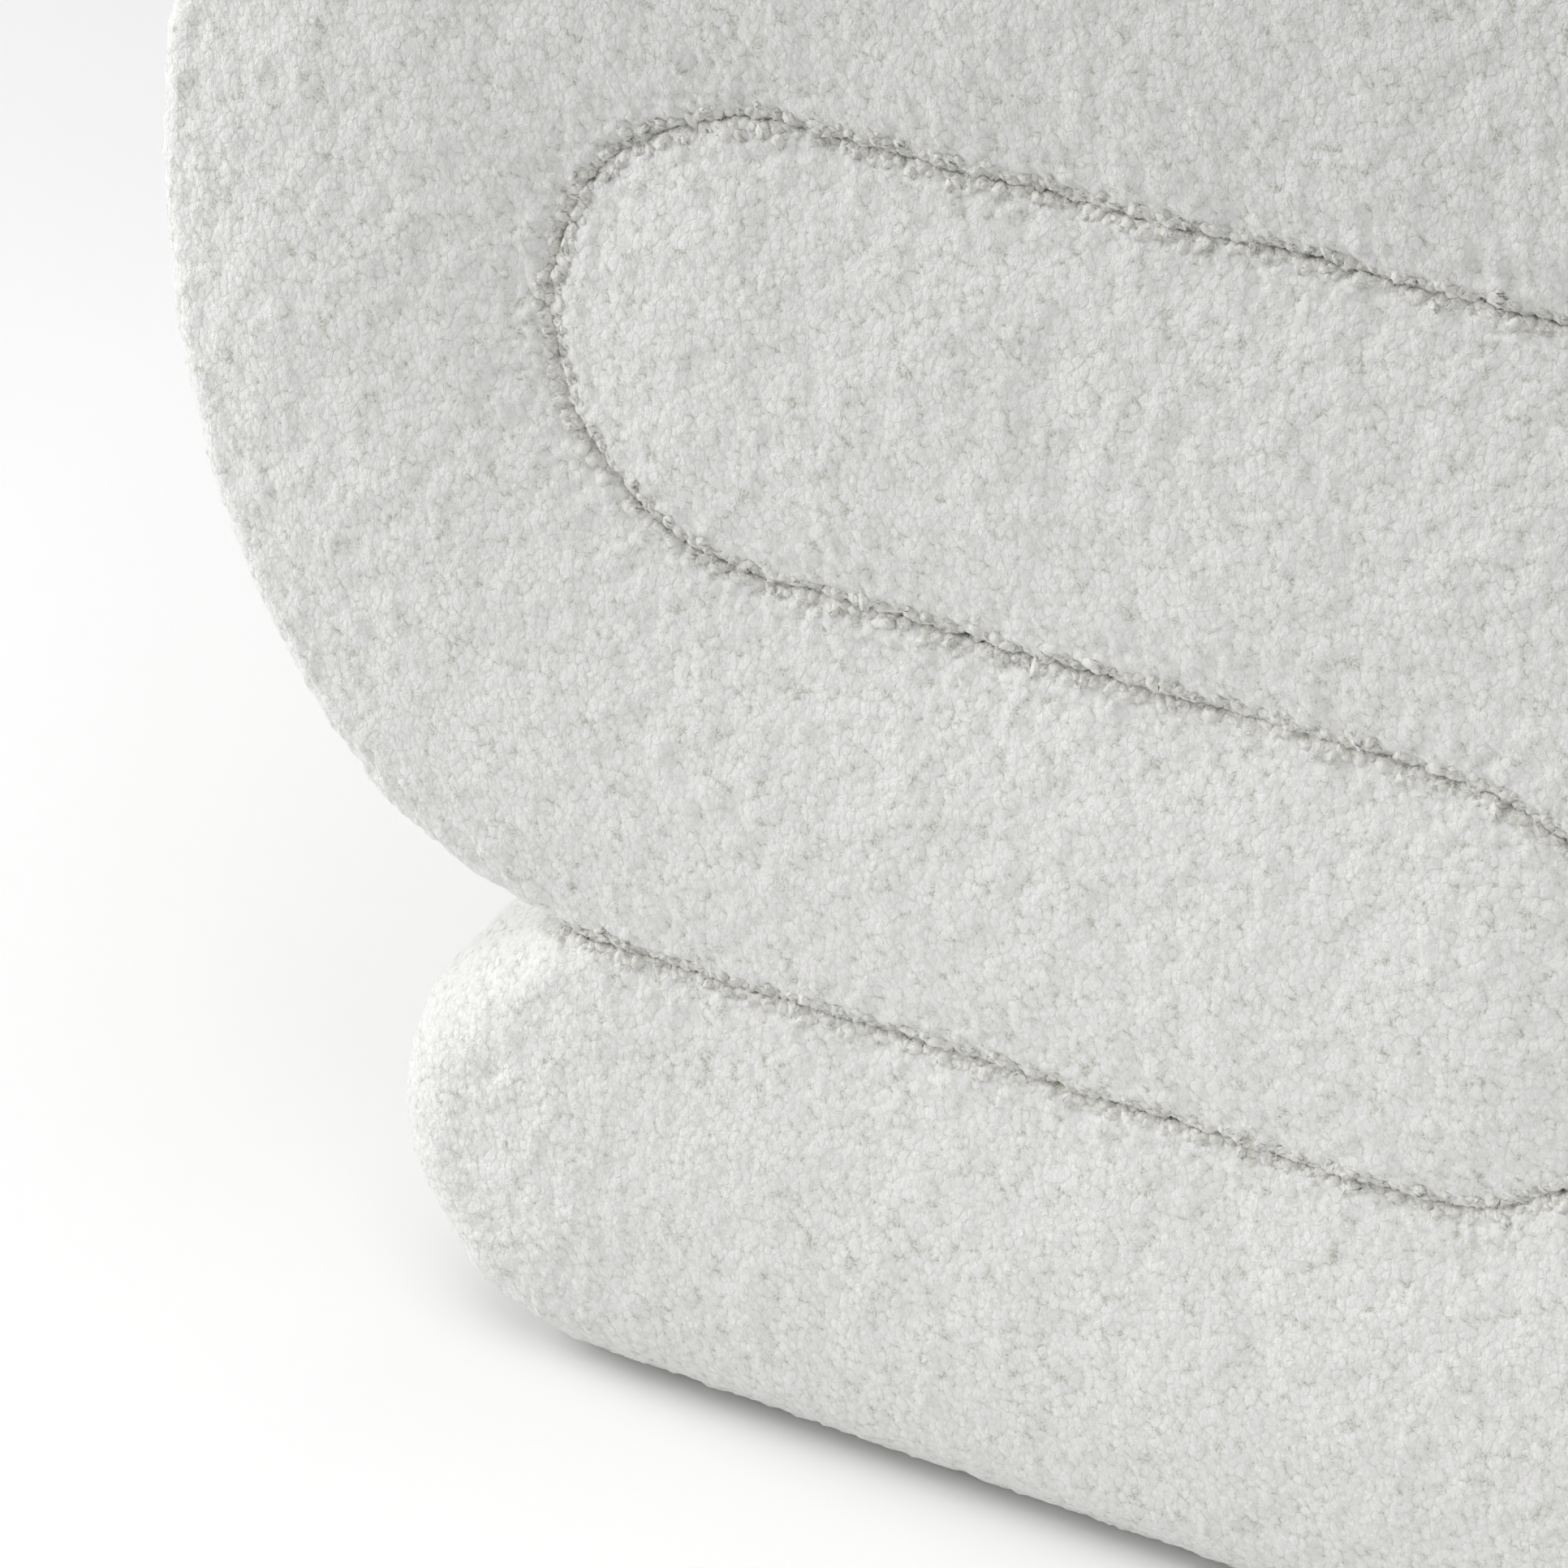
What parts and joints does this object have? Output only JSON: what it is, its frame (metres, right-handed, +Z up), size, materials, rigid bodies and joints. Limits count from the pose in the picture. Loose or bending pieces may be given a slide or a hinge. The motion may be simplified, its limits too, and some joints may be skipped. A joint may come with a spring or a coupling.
{
  "type": "upholstered ottoman",
  "caption": "Upholstered block ottoman of padded hook-shaped volumes clasped into each other, in pale looped cloth, flat underneath.",
  "frame": {"origin": "on the floor, under the middle of the block", "axes": "+Z up, the front with the two noses faces -Y, +X to the right as seen from the front"},
  "size_m": [0.444, 0.436, 0.435],
  "materials": {
    "looped_cloth": "off-white looped boucle, soft and matt"
  },
  "bodies": {
    "root": {"lower_hook": "looped_cloth", "upper_hook": "looped_cloth"}
  },
  "joints": []
}
